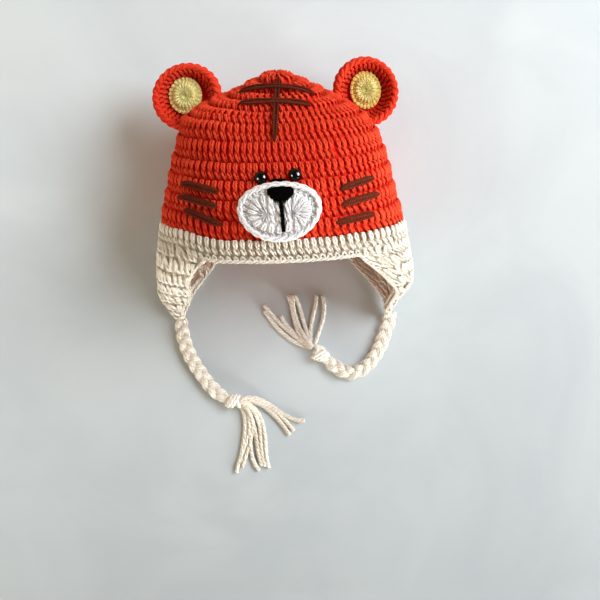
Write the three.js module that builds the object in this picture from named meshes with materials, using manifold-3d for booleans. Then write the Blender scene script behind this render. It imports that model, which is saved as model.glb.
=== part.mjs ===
import * as THREE from 'three';
import { mergeVertices } from 'three/addons/utils/BufferGeometryUtils.js';
import Module from 'manifold-3d';

// A crocheted baby hat with a tiger's face, cupped ears, earflaps and plaited ties.
// It lies on its back: X runs across the face, Y from the flap tips to the crown, Z up out of
// the face. Millimetres. A station is a place along Y, counted from the flap tips.

// Driving dimensions
const fabric = 4;            // thickness of the crocheted wall
const fit = 0.3;             // gap kept between pieces that touch
const floorKnee = 4;         // reach of the soft turn where the wall comes down on the table
const crownRounds = 11;      // rounds of red yarn
const bandEnd = 12.35;       // round at which the edging ends at the brim
const flapEnd = 16.8;        // round at the tip of a flap
const seam = 0.015;          // half of the gap at a change of yarn, in rounds
const ridgeAtTop = 3;        // height of a round's ridge over its groove, on top of the crown
const ridgeAtSide = 1.5;     // and on the side of the crown
const ridgeShare = 0.6;      // share of that height that stands above the ring table
const earRadius = 23.2;
const earPlace = { x: 59.8, station: 149, z: 35.5, tilt: 6 };
const eyeRadius = 3.8;
const tieRadius = 4.7;
const knotRadius = 6.2;
const strandRadius = 1.4;

// Rings of the hat, from the middle of the crown to the flap tips. halfWidth and halfDepth are
// the ring's half axes, station and height its middle, lean the angle that it leans back.
const rings = [
  { round: 0, halfWidth: 0, halfDepth: 0, station: 160.5, height: 62, lean: 24 },
  { round: 1, halfWidth: 12, halfDepth: 11, station: 156.5, height: 60.4, lean: 24 },
  { round: 2, halfWidth: 22.2, halfDepth: 21.8, station: 151.8, height: 59, lean: 21 },
  { round: 3, halfWidth: 32, halfDepth: 33.4, station: 148, height: 57.4, lean: 18.8 },
  { round: 4, halfWidth: 43.2, halfDepth: 45, station: 143.2, height: 55.8, lean: 17.5 },
  { round: 5, halfWidth: 56.2, halfDepth: 56.2, station: 135.4, height: 54.2, lean: 15.8 },
  { round: 6, halfWidth: 65.8, halfDepth: 63.6, station: 124.6, height: 52.8, lean: 15.3 },
  { round: 7, halfWidth: 71, halfDepth: 68.6, station: 112.6, height: 51.8, lean: 15.4 },
  { round: 8, halfWidth: 74, halfDepth: 71.2, station: 101.8, height: 51, lean: 15.3 },
  { round: 9, halfWidth: 76.6, halfDepth: 72, station: 89.4, height: 50.5, lean: 15 },
  { round: 10, halfWidth: 79.3, halfDepth: 70.8, station: 76.4, height: 50, lean: 14.5 },
  { round: 11, halfWidth: 81.6, halfDepth: 67.5, station: 61.6, height: 49.7, lean: 13 },
  { round: 12, halfWidth: 83.7, halfDepth: 65.5, station: 51, height: 49, lean: 12.7 },
  { round: 12.35, halfWidth: 84.2, halfDepth: 65, station: 47.3, height: 48.7, lean: 12.7 },
  { round: 13.35, halfWidth: 86, halfDepth: 58.5, station: 36.5, height: 42, lean: 12.7 },
  { round: 14.35, halfWidth: 87.2, halfDepth: 49, station: 25.5, height: 34, lean: 12.7 },
  { round: 15.35, halfWidth: 85.8, halfDepth: 36, station: 15, height: 24, lean: 12.7 },
  { round: 16.2, halfWidth: 81, halfDepth: 20, station: 6.5, height: 14, lean: 12.7 },
  { round: 16.8, halfWidth: 77, halfDepth: 10, station: 1, height: 7.5, lean: 12.7 },
];

// How far each row of a flap reaches round the ring, in degrees from the middle of the face.
const flapRows = [
  { round: 12.35, front: 36, rear: 149 },
  { round: 13.35, front: 45.5, rear: 149.5 },
  { round: 14.35, front: 54.5, rear: 145 },
  { round: 15.35, front: 65, rear: 134 },
  { round: 16.2, front: 70, rear: 122 },
  { round: 16.8, front: 72, rear: 110 },
];

// Embroidered stripes: both ends and how far the middle bows along Y, in plan, the width, and
// the hump where one passes over another.
const stripes = [
  { name: 'forehead_stripe_upper', from: [-24, 145], to: [23, 143], bow: 5, width: 4.6, hump: 1.3 },
  { name: 'forehead_stripe_lower', from: [-23, 134.4], to: [21.4, 132.4], bow: 3.2, width: 4.6, hump: 2 },
  { name: 'forehead_stripe_middle', from: [1, 153.5], to: [-2, 107.5], bow: 0, width: 3.6, hump: 0 },
  { name: 'cheek_stripe_left_1', from: [-61.4, 86.7], to: [-38.2, 78.2], bow: 0, width: 4, hump: 0 },
  { name: 'cheek_stripe_left_2', from: [-63.8, 77.5], to: [-39.1, 69.2], bow: 0, width: 4, hump: 0 },
  { name: 'cheek_stripe_left_3', from: [-59.8, 67.3], to: [-38.2, 58.7], bow: 0, width: 4, hump: 0 },
  { name: 'cheek_stripe_right_1', from: [37.6, 76.6], to: [59.4, 85.6], bow: 0, width: 4, hump: 0 },
  { name: 'cheek_stripe_right_2', from: [37, 66.7], to: [62.2, 75.6], bow: 0, width: 4, hump: 0 },
  { name: 'cheek_stripe_right_3', from: [34.3, 56.3], to: [58.2, 62.8], bow: 0, width: 4, hump: 0 },
];
const stripeHeight = 1.8;

// Face, in plan. Lifts are heights over the ring table.
const muzzle = { x: -0.5, station: 64.3, halfWidth: 25.9, halfHeight: 18.1, thick: 3, rim: 1.3, rimWidth: 0.13 };
const nose = { x: 0.4, station: 75.1, halfWidth: 7.9, top: 3.7, bottom: 5.5, thick: 2.5 };
const mouth = { from: [0.5, 69], to: [0.9, 52.4], bow: 0, width: 2.1, thick: 1.5 };
const eyes = [
  { name: 'eye_left', x: -11.1, station: 85.6 },
  { name: 'eye_right', x: 9, station: 86.7 },
];

// Routes of the plaited ties over the table, from the flap tip to the knot: x, station.
const tieRoutes = {
  left: [[-75.3, -0.3], [-75, -3.6], [-74.7, -7.2], [-74.2, -11], [-73.5, -15.1], [-72.4, -19.4], [-70.8, -24],
    [-69, -28.5], [-66.6, -32.8], [-63.9, -37.2], [-61.2, -41.4], [-58.4, -45.6], [-55.4, -49.4],
    [-52.1, -52.9], [-49.2, -55.4], [-47, -56.8]],
  right: [[74, -0.3], [73, -3.4], [72.2, -6.8], [71, -10.6], [69.4, -14.8], [67.5, -19.4], [65.7, -23.8],
    [63.4, -28], [60.8, -32], [57.7, -35.9], [53.9, -39.4], [49.3, -41.9], [44.6, -42.9],
    [39.8, -42.2], [35.2, -39.8], [31.4, -37], [28.2, -34.3]],
};
const tieHeights = { exit: 6, table: 4.8, fall: 16 };

// Strands of the tassels: length, heading at the start, middle and end in degrees from +X, and
// the height at which the strand leaves the knot.
const tasselStrands = {
  left: [
    { length: 53.1, start: 33, middle: -38, end: 11, rise: 8 },
    { length: 48.8, start: 10, middle: -36, end: -54, rise: 5.5 },
    { length: 47.5, start: 4, middle: -41, end: -59, rise: 3 },
    { length: 58.9, start: -4, middle: -82, end: -72, rise: 6 },
    { length: 55.6, start: -11, middle: -85, end: -64, rise: 8 },
    { length: 52.1, start: -36, middle: -82, end: -70, rise: 3.5 },
    { length: 54, start: -27, middle: -100, end: -105, rise: 7 },
    { length: 56.3, start: -36, middle: -106, end: -100, rise: 4 },
    { length: 46, start: -57, middle: -97, end: -96, rise: 3 },
    { length: 54.5, start: -43, middle: -90, end: -47, rise: 2 },
  ],
  right: [
    { length: 46.3, start: 172, middle: 138, end: 120, rise: 3 },
    { length: 48.5, start: 152, middle: 136, end: 124, rise: 5 },
    { length: 34.1, start: 136, middle: 139, end: 104, rise: 7.5 },
    { length: 44.4, start: 159, middle: 103, end: 112, rise: 6.5 },
    { length: 43.1, start: 134, middle: 108, end: 84, rise: 8 },
    { length: 41.2, start: 120, middle: 103, end: 117, rise: 5 },
    { length: 39, start: 116, middle: 76, end: 90, rise: 4 },
    { length: 39.5, start: 73, middle: 73, end: 110, rise: 6 },
    { length: 22.7, start: 60, middle: -10, end: -30, rise: 7.5 },
  ],
};
const knots = { left: { x: -40.2, station: -59.7, yaw: -10 }, right: { x: 22.4, station: -29.6, yaw: 142 } };

const colours = {
  red: 0xd83a18, cream: 0xe9dfc8, yellow: 0xeadc84, white: 0xf2f0ec, black: 0x0c0b0c, brown: 0x5a2c1c,
};

const wasm = await Module();
wasm.setup();

const radians = THREE.MathUtils.degToRad;

// Reads every column of a table at a value of its first column, on a smooth curve through the rows.
function readTable(table, value) {
  const key = Object.keys(table[0])[0];
  let i = 0;
  while (i < table.length - 2 && value > table[i + 1][key]) i += 1;
  const [before, a, b, after] = [table[Math.max(i - 1, 0)], table[i], table[i + 1], table[Math.min(i + 2, table.length - 1)]];
  const step = b[key] - a[key];
  const t = (value - a[key]) / step;
  const row = {};
  for (const name of Object.keys(a)) {
    const slopeA = (b[name] - before[name]) / (b[key] - before[key]);
    const slopeB = (after[name] - a[name]) / (after[key] - a[key]);
    row[name] = (2 * t ** 3 - 3 * t ** 2 + 1) * a[name] + (t ** 3 - 2 * t ** 2 + t) * step * slopeA
      + (3 * t ** 2 - 2 * t ** 3) * b[name] + (t ** 3 - t ** 2) * step * slopeB;
  }
  return row;
}

function ringPoint(angle, round) {
  const ring = readTable(rings, round);
  const forward = ring.halfDepth * Math.cos(radians(angle));
  return new THREE.Vector3(
    ring.halfWidth * Math.sin(radians(angle)),
    ring.station - forward * Math.sin(radians(ring.lean)),
    ring.height + forward * Math.cos(radians(ring.lean)),
  );
}

function ringNormal(angle, round) {
  const at = Math.max(round, 0.05);
  const along = ringPoint(angle, at + 0.02).sub(ringPoint(angle, at - 0.02));
  const around = ringPoint(angle + 0.5, at).sub(ringPoint(angle - 0.5, at));
  if (round > 0) return along.cross(around).normalize();
  const lean = radians(rings[0].lean);
  return new THREE.Vector3(0, Math.cos(lean), Math.sin(lean));
}

// The wall goes flat where it rests: no lower than the level, with a soft turn above it.
function restOn(z, level) {
  const over = z - level;
  if (over > floorKnee) return z;
  return over < -floorKnee ? level : level + (over + floorKnee) ** 2 / (4 * floorKnee);
}

function wallPoint(angle, round, depth) {
  const point = ringPoint(angle, round).addScaledVector(ringNormal(angle, round), -depth);
  point.z = restOn(point.z, Math.max(depth, 0));
  return point;
}

// Each round stands out as a ridge that is fullest just below the round above it.
function ridge(round) {
  const part = round - Math.floor(round);
  const shape = round < 1 ? Math.sqrt(Math.cos(part * Math.PI / 2)) : Math.sin(Math.PI * part ** 0.6);
  const height = THREE.MathUtils.lerp(ridgeAtTop, ridgeAtSide, THREE.MathUtils.smoothstep(round, 4, 7));
  return height * (shape - 1 + ridgeShare);
}

function ridgeTop(station) {
  return ridgeShare * THREE.MathUtils.lerp(ridgeAtSide, ridgeAtTop, THREE.MathUtils.smoothstep(station, 100, 125));
}

// Joins rows of points into a closed skin. Rows with one point are poles; closed rows wrap round.
function skin(rows, { wrap = true, ring = false, caps = false, mirror = false }) {
  const starts = [];
  const positions = [];
  for (const row of rows) {
    starts.push(positions.length / 3);
    for (const p of row) positions.push(mirror ? -p.x : p.x, p.y, p.z);
  }
  const faces = [];
  const face = (a, b, c) => faces.push(...(mirror ? [a, c, b] : [a, b, c]));
  const size = Math.max(...rows.map((row) => row.length));
  const corner = (row, i) => starts[row] + (rows[row].length === 1 ? 0 : i % size);
  const joins = ring ? rows.length : rows.length - 1;
  for (let r = 0; r < joins; r += 1) {
    const next = (r + 1) % rows.length;
    for (let i = 0; i < (wrap ? size : size - 1); i += 1) {
      if (rows[next].length > 1) face(corner(r, i), corner(next, i), corner(next, i + 1));
      if (rows[r].length > 1) face(corner(r, i), corner(next, i + 1), corner(r, i + 1));
    }
  }
  if (caps) {
    const half = rows.length / 2;
    for (let r = 0; r < half - 1; r += 1) {
      const inner = rows.length - 1 - r;
      for (const [i, flip] of [[0, false], [size - 1, true]]) {
        const loop = [corner(r, i), corner(inner, i), corner(inner - 1, i), corner(r + 1, i)];
        if (flip) loop.reverse();
        face(loop[0], loop[1], loop[2]);
        face(loop[0], loop[2], loop[3]);
      }
    }
  }
  const geometry = new THREE.BufferGeometry();
  geometry.setAttribute('position', new THREE.Float32BufferAttribute(positions, 3));
  geometry.setIndex(faces);
  return geometry;
}

function steps(from, to, count) {
  return Array.from({ length: count + 1 }, (_, i) => from + (to - from) * i / count);
}

function wallRow(round, depth, columns, from = -180, to = 180) {
  const angles = steps(from, to, columns);
  if (to - from === 360) angles.pop();
  return angles.map((angle) => wallPoint(angle, round, depth));
}

function toSolid(geometry) {
  const bare = geometry.clone();
  bare.deleteAttribute('normal');
  bare.deleteAttribute('uv');
  const merged = mergeVertices(bare, 1e-4);
  const mesh = new wasm.Mesh({
    numProp: 3,
    vertProperties: new Float32Array(merged.attributes.position.array),
    triVerts: new Uint32Array(merged.index.array),
  });
  return new wasm.Manifold(mesh);
}

function toGeometry(solid) {
  const mesh = solid.getMesh();
  const geometry = new THREE.BufferGeometry();
  geometry.setAttribute('position', new THREE.BufferAttribute(new Float32Array(mesh.vertProperties), 3));
  geometry.setIndex(new THREE.BufferAttribute(new Uint32Array(mesh.triVerts), 1));
  return geometry;
}

// The crown's ridged outer face, from the pole to the brim, an extra distance further out.
function crownRows(extra) {
  const columns = 36;
  const row = (round) => wallRow(round, -ridge(round) - extra, columns);
  const rows = [[wallPoint(0, 0, -ridge(0) - extra)]];
  for (let round = 0; round < crownRounds; round += 1) {
    const parts = round ? [0, 0.25, 0.75] : [0.45, 0.8];
    for (const part of parts) rows.push(row(round + part));
  }
  rows.push(row(crownRounds - seam));
  return rows;
}

// Crown: eleven ridged rounds outside, a smooth wall inside, open at the brim.
function crownGeometry() {
  const inner = [wallRow(crownRounds - seam, fabric, 36)];
  for (let round = crownRounds - 1; round > 0; round -= 1) inner.push(wallRow(round, fabric, 36));
  inner.push([wallPoint(0, 0, fabric)]);
  return skin([...crownRows(0), ...inner], {});
}

// The crown filled in and a fit larger, to cut the ears where they are sewn on.
function crownFilling() {
  return skin([...crownRows(fit), [new THREE.Vector3(0, rings[11].station, rings[11].height)]], {});
}

function bandGeometry() {
  const start = crownRounds + seam;
  const outer = [[start, 0.2], [start + 0.35, 0.9], [12, -0.3], [12.12, 0.4], [bandEnd, 0]];
  const rows = outer.map(([round, out]) => wallRow(round, -out, 44));
  for (const round of [bandEnd, 11.8, start]) rows.push(wallRow(round, fabric, 44));
  return skin(rows, { ring: true });
}

function flapGeometry(side) {
  const start = bandEnd + 2 * seam;
  const rounds = [start, 13, 13.7, 14.4, 15.1, 15.8, 16.35, flapEnd];
  const row = (round, depth) => {
    const reach = readTable(flapRows, round);
    return wallRow(round, depth, 12, reach.front, reach.rear);
  };
  const outer = rounds.map((round) => row(round, 0));
  const inner = rounds.map((round) => row(round, fabric)).reverse();
  return skin([...outer, ...inner], { wrap: false, ring: true, caps: true, mirror: side < 0 });
}

// Finds the wall over a place in plan, on the side of the face.
function facePlace(x, station) {
  let low = 0.05;
  let high = bandEnd;
  for (let i = 0; i < 40; i += 1) {
    const round = (low + high) / 2;
    const ring = readTable(rings, round);
    const share = Math.min(Math.abs(x) / ring.halfWidth, 1);
    const reach = ring.station - ring.halfDepth * Math.sqrt(1 - share ** 2) * Math.sin(radians(ring.lean));
    if (share >= 1 || reach > station) low = round;
    else high = round;
  }
  const ring = readTable(rings, low);
  const angle = THREE.MathUtils.radToDeg(Math.asin(THREE.MathUtils.clamp(x / ring.halfWidth, -1, 1)));
  return { point: ringPoint(angle, low), normal: ringNormal(angle, low) };
}

function overFace(x, station, lift) {
  const place = facePlace(x, station);
  return place.point.addScaledVector(place.normal, lift);
}

// A rounded band of yarn along a bowed line in plan, tapered to both ends, from a lift upwards.
function bandOfYarn({ from, to, bow, width }, thick, liftAt) {
  const count = 8;
  const sides = 6;
  const place = (s) => [
    THREE.MathUtils.lerp(from[0], to[0], s),
    THREE.MathUtils.lerp(from[1], to[1], s) + bow * 4 * s * (1 - s),
  ];
  const rows = [[overFace(...from, liftAt(0) + 0.3)]];
  for (const s of steps(0.04, 0.96, count)) {
    const [x, station] = place(s);
    const { point, normal } = facePlace(x, station);
    const ahead = overFace(...place(s + 0.02), 0).sub(overFace(...place(s - 0.02), 0)).normalize();
    const across = ahead.clone().cross(normal).normalize();
    const full = Math.sin(Math.PI * s) ** 0.45;
    const loop = [];
    for (let i = 0; i < sides; i += 1) {
      const turn = 2 * Math.PI * i / sides;
      const up = liftAt(s) + full * thick * (0.5 + 0.5 * Math.sin(turn));
      loop.push(point.clone().addScaledVector(normal, up).addScaledVector(across, full * width / 2 * Math.cos(turn)));
    }
    rows.push(loop);
  }
  rows.push([overFace(...to, liftAt(1) + 0.3)]);
  return skin(rows, {});
}

// A pad lying on the face: an outline in plan, with a top whose lift depends on the share of the
// way out to the edge.
function padOnFace({ x, station }, outline, base, topLift, shares, count) {
  const row = (share, lift) => steps(0, 2 * Math.PI, count).slice(0, count).map((turn) => {
    const [dx, dy] = outline(turn);
    return overFace(x + share * dx, station + share * dy, lift);
  });
  const top = [[overFace(x, station, topLift(0))], ...shares.map((share) => row(share, topLift(share)))];
  const under = [row(1, base), row(0.5, base), [overFace(x, station, base)]];
  return skin([...top, ...under], {});
}

function muzzleGeometry(base) {
  const outline = (turn) => [muzzle.halfWidth * Math.cos(turn), muzzle.halfHeight * Math.sin(turn)];
  const rim = 1 - muzzle.rimWidth;
  const lift = (share) => base + (share === 1 ? 1 : muzzle.thick + (share > rim + 0.01 ? muzzle.rim : 0));
  return padOnFace(muzzle, outline, base, lift, [0.5, rim, rim + 0.03, 0.985, 1], 32);
}

function noseGeometry(base) {
  const outline = (turn) => {
    const rise = Math.sin(turn);
    return [nose.halfWidth * Math.cos(turn), rise > 0 ? nose.top * rise ** 0.4 : nose.bottom * rise];
  };
  const lift = (share) => base + nose.thick * (share === 1 ? 0.5 : 1);
  return padOnFace(nose, outline, base, lift, [0.6, 0.88, 1], 18);
}

// Safety eye: a dome, a post through the wall and a washer inside.
const eyeBase = ridgeAtSide * ridgeShare + fit;
const eyePost = 1.5;
function eyeGeometry() {
  const profile = [
    [0, -7], [eyePost, -7], [eyePost, -5.9], [4.4, -5.9], [4.4, -4.7], [eyePost, -4.7], [eyePost, eyeBase],
    [eyeRadius, eyeBase], [eyeRadius, eyeBase + 0.6], [3.3, eyeBase + 2], [2.1, eyeBase + 3], [0, eyeBase + 3.4],
  ];
  return new THREE.LatheGeometry(profile.map(([r, h]) => new THREE.Vector2(r, h)), 10);
}

function standOnFace(geometry, { x, station }) {
  const { point, normal } = facePlace(x, station);
  const turn = new THREE.Quaternion().setFromUnitVectors(new THREE.Vector3(0, 1, 0), normal);
  return geometry.applyQuaternion(turn).translate(point.x, point.y, point.z);
}

// Ear: a cup with a rolled rim, opening upwards, and the flat disc in it.
const earProfile = [
  [0, 0], [13.5, 0], [18.8, 2.4], [22.2, 6.6], [earRadius, 10], [22.4, 12.6], [20.2, 13.6],
  [18, 12.4], [16.4, 8.6], [14.6, 4.6], [0, 4.6],
];
const earDiscProfile = [[0, 4.9], [12, 4.9], [12.6, 6.1], [11.4, 7.4], [5, 7.9], [0, 7.3]];

function earTurned(profile, side, segments) {
  const geometry = new THREE.LatheGeometry(profile.map(([r, h]) => new THREE.Vector2(r, h)), segments);
  geometry.rotateX(Math.PI / 2);
  geometry.rotateY(radians(side * earPlace.tilt));
  return geometry.translate(side * earPlace.x, earPlace.station, earPlace.z);
}

function circle(radius, sides) {
  const shape = new THREE.Shape();
  for (let i = 0; i < sides; i += 1) {
    const turn = 2 * Math.PI * i / sides;
    if (i) shape.lineTo(radius * Math.cos(turn), radius * Math.sin(turn));
    else shape.moveTo(radius, 0);
  }
  shape.closePath();
  return shape;
}

function tube(points, radius, sides, count) {
  const extrudePath = new THREE.CatmullRomCurve3(points);
  return new THREE.ExtrudeGeometry(circle(radius, sides), { steps: count, extrudePath });
}

function tieGeometry(side) {
  const points = tieRoutes[side].map(([x, station], i) => {
    const drop = Math.min(i * 4 / tieHeights.fall, 1);
    const z = THREE.MathUtils.lerp(tieHeights.exit, tieHeights.table, drop);
    return new THREE.Vector3(x, station, z);
  });
  return tube(points, tieRadius, 10, 14);
}

// One strand: it follows its headings over the table and sinks from the knot down onto it.
function strandGeometry(start, { length, start: first, middle, end, rise }) {
  const count = 5;
  const place = new THREE.Vector3(start.x, start.y, rise);
  const points = [place.clone()];
  const finest = 4 * count;
  for (let i = 0; i < finest; i += 1) {
    const t = (i + 0.5) / finest;
    const heading = first * (1 - t) * (1 - 2 * t) + middle * 4 * t * (1 - t) + end * t * (2 * t - 1);
    place.x += Math.cos(radians(heading)) * length / finest;
    place.y += Math.sin(radians(heading)) * length / finest;
    place.z = THREE.MathUtils.lerp(rise, strandRadius, Math.min((t + 0.5 / finest) * 2, 1));
    if ((i + 1) % 4 === 0) points.push(place.clone());
  }
  return tube(points, strandRadius, 5, count);
}

function tasselGeometry(side) {
  const knot = knots[side];
  const yaw = radians(knot.yaw);
  const ball = new THREE.SphereGeometry(knotRadius, 12, 8);
  ball.scale(1.12, 1, 0.9).rotateZ(yaw).translate(knot.x, knot.station, knotRadius * 0.9);
  let solid = toSolid(ball);
  const start = new THREE.Vector2(knot.x + 3.4 * Math.cos(yaw), knot.station + 3.4 * Math.sin(yaw));
  for (const strand of tasselStrands[side]) {
    solid = solid.add(toSolid(strandGeometry(start, strand)));
  }
  return toGeometry(solid);
}

const hat = new THREE.Group();
const ties = new THREE.Group();

function addPiece(group, name, geometry, colour, roughness = 0.9) {
  const material = new THREE.MeshStandardMaterial({ color: colour, roughness, metalness: 0 });
  const mesh = new THREE.Mesh(geometry, material);
  mesh.name = name;
  group.add(mesh);
}

function addWalls() {
  let crown = toSolid(crownGeometry());
  for (const eye of eyes) {
    const hole = new THREE.CylinderGeometry(eyePost + fit, eyePost + fit, 4 * fabric, 12);
    crown = crown.subtract(toSolid(standOnFace(hole, eye)));
  }
  addPiece(hat, 'crown', toGeometry(crown), colours.red);
  addPiece(hat, 'brim_band', bandGeometry(), colours.cream);
  addPiece(hat, 'ear_flap_left', flapGeometry(-1), colours.cream);
  addPiece(hat, 'ear_flap_right', flapGeometry(1), colours.cream);
}

function addEars() {
  const filling = toSolid(crownFilling());
  for (const [name, side] of [['left', -1], ['right', 1]]) {
    const cup = toSolid(earTurned(earProfile, side, 28)).subtract(filling);
    addPiece(hat, `ear_${name}`, toGeometry(cup), colours.red);
    const disc = toSolid(earTurned(earDiscProfile, side, 20)).subtract(filling);
    addPiece(hat, `ear_center_${name}`, toGeometry(disc), colours.yellow);
  }
}

function addFace() {
  const base = ridgeAtSide * ridgeShare + fit;
  const field = base + muzzle.thick + fit;
  addPiece(hat, 'muzzle', muzzleGeometry(base), colours.white);
  addPiece(hat, 'nose', noseGeometry(field), colours.black);
  addPiece(hat, 'mouth_line', bandOfYarn(mouth, mouth.thick, () => field), colours.black);
  for (const eye of eyes) addPiece(hat, eye.name, standOnFace(eyeGeometry(), eye), colours.black, 0.1);
  for (const stripe of stripes) {
    const low = ridgeTop((stripe.from[1] + stripe.to[1]) / 2) + fit;
    const lift = (s) => low + stripe.hump * Math.sin(Math.PI * s) ** 0.7;
    addPiece(hat, stripe.name, bandOfYarn(stripe, stripeHeight, lift), colours.brown);
  }
}

function addTies() {
  for (const side of ['left', 'right']) {
    addPiece(ties, `tie_${side}`, tieGeometry(side), colours.cream);
    addPiece(ties, `tassel_${side}`, tasselGeometry(side), colours.cream);
  }
}

addWalls();
addEars();
addFace();
addTies();

// The origin lies under the middle of the hat itself, on the table.
const part = new THREE.Group();
part.add(hat, ties);
const size = new THREE.Box3().setFromObject(hat);
const middle = size.getCenter(new THREE.Vector3());
part.position.set(-middle.x, -middle.y, -size.min.z);

export default part;
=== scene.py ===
from math import cos, pi, radians, sin, tau

import bmesh
import bpy
import numpy as np
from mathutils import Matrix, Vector
from mathutils.bvhtree import BVHTree


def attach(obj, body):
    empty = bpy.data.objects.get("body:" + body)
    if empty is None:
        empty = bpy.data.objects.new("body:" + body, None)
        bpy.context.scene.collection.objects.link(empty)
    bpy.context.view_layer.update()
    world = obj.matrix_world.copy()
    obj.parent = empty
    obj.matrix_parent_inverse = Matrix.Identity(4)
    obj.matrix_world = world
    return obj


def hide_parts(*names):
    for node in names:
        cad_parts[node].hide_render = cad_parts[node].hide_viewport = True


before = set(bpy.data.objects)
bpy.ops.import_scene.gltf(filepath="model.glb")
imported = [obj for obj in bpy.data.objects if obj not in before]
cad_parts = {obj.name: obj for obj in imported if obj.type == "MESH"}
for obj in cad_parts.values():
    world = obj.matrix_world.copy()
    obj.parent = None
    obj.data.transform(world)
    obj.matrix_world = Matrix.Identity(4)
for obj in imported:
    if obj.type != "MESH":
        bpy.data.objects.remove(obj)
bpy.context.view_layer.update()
print("frame loaded:", len(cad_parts), "nodes")

mm = 0.001
dice = np.random.default_rng(11)  # every random draw comes from here

# The hat lies on its back: X across the face, Y from the brim to the crown, Z up out of the face.
# Sizes are in mm. A station is a place along Y, counted from the flap tips.

wall = {
    "origin": 86.26,    # its station
    "rest": 1.3,        # height of the fabric's face over the table where it lies flat
    "knee": 4,          # reach of the soft turn down to the table
    "clear": 0.05,      # between a yarn and the table
    "thick": 3.0,       # between the two base sheets
    "front": -0.6,      # lift of the front sheet of the band, the flaps and the ears
    "crownRounds": 11,
    "bandEnd": 12.35,
    "flapEnd": 16.8,
}

shot = {"x": 9.7, "station": 10, "height": 800, "roll": -2.2, "lens": 67.27}  # height over the table


def addObject(name, data):
    made = bpy.data.objects.new(name, data)
    bpy.context.scene.collection.objects.link(made)
    return made


camera = addObject("camera", bpy.data.cameras.new("camera"))
bpy.context.scene.camera = camera
camera.location = Vector((shot["x"], shot["station"] - wall["origin"], shot["height"])) * mm
camera.rotation_euler = (0, 0, radians(shot["roll"]))
camera.data.lens = shot["lens"]
camera.data.clip_end = 20

# Rings from the middle of the crown to the flap tips
rings = {
    "round":     [0, 1, 2, 3, 4, 5, 6, 7, 8, 9, 10, 11, 12, 12.35, 13.35, 14.35, 15.35, 16.2, 16.8],
    "halfWidth": [0, 12, 22.2, 32, 43, 55.2, 64, 69, 72, 74.6, 77.3, 79.6, 81.8, 82.4,
                  84.6, 86.2, 85, 80.5, 77],
    "halfDepth": [0, 11, 21.8, 33.4, 45, 56.2, 63.6, 68.6, 71.2, 72, 70.8, 67.5, 65.5, 65,
                  58.5, 49, 36, 20, 10],
    "station":   [160.4, 156.0, 151.0, 146.6, 141.4, 134.3, 124.2, 112.5, 101.8, 89.4, 76.4, 61.6, 51, 47.3,
                  36.5, 25.5, 15, 6.5, 1],
    "height":    [62, 60.4, 59, 57.4, 55.8, 54.2, 52.8, 51.8, 51, 50.5, 50, 49.7, 49, 48.7,
                  42, 34, 24, 14, 7.5],
    "lean":      [24, 24, 21, 18.8, 17.5, 15.8, 15.3, 15.4, 15.3, 15, 14.5, 13, 12.7, 12.7, 12.7, 12.7,
                  12.7, 12.7, 12.7],
}

sideNames = {-1: "left", 1: "right"}

# How far each row of a flap reaches round its ring, in degrees from the middle of the face
flapReach = {
    "right": {
        "round": [12.35, 13.35, 14.35, 15.35, 16.2, 16.8],
        "front": [36, 45.5, 54.5, 65, 70, 72],
        "rear":  [149, 149.5, 145, 132.4, 113, 104],
    },
    "left": {
        "round": [12.35, 13.35, 13.9, 14.35, 15, 15.6, 16.2, 16.8],
        "front": [36, 46, 49.5, 48.5, 51.5, 57.5, 64, 70],
        "rear":  [149, 149, 145.5, 142.5, 136, 128.5, 120.5, 110],
    },
}

# How the two sides differ
drape = {
    "ride": 4.2,       # mm by which the left brim rides up
    "sink": 0.45,      # share of its height that the left flap loses
    "spread": 0.04,    # how much wider it gets where it sinks
    "fold": 1.3,       # how flat it lies past its ridge
    "shoulder": 0.07,  # bulge of the crown's left shoulder
    "pinch": 0.05,     # how much slimmer the right flap's tip is
    "slim": 0.016,     # and the right cheek
}
ridge = {"round": [13, 14, 15, 16, 17], "cosine": [0.5, 0.37, 0.2, 0.1, 0.05]}  # of the left flap


def readTable(table, values):  # every column at these values of the first one, on smooth curves
    names = list(table)
    knots = np.array(table[names[0]], float)
    values = np.asarray(values, float)
    i = np.clip(np.searchsorted(knots, values, side="right") - 1, 0, len(knots) - 2)
    step = knots[i + 1] - knots[i]
    t = (values - knots[i]) / step
    found = {}
    for name in names[1:]:
        column = np.array(table[name], float)
        slope = np.empty_like(column)
        slope[0] = (column[1] - column[0]) / (knots[1] - knots[0])
        slope[-1] = (column[-1] - column[-2]) / (knots[-1] - knots[-2])
        slope[1:-1] = (column[2:] - column[:-2]) / (knots[2:] - knots[:-2])
        found[name] = ((2 * t**3 - 3 * t**2 + 1) * column[i] + (t**3 - 2 * t**2 + t) * step * slope[i]
                       + (3 * t**2 - 2 * t**3) * column[i + 1] + (t**3 - t**2) * step * slope[i + 1])
    return found


def sine(degrees):
    return np.sin(np.radians(degrees))


def cosine(degrees):
    return np.cos(np.radians(degrees))


def unit(vectors):
    return vectors / np.linalg.norm(vectors, axis=-1, keepdims=True)


def walkedAlong(line):  # how far along the line each of its points lies
    return np.concatenate([[0], np.cumsum(np.linalg.norm(np.diff(line, axis=0), axis=1))])


def blend(low, high, value):
    t = np.clip((value - low) / (high - low), 0, 1)
    return t * t * (3 - 2 * t)


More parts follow.
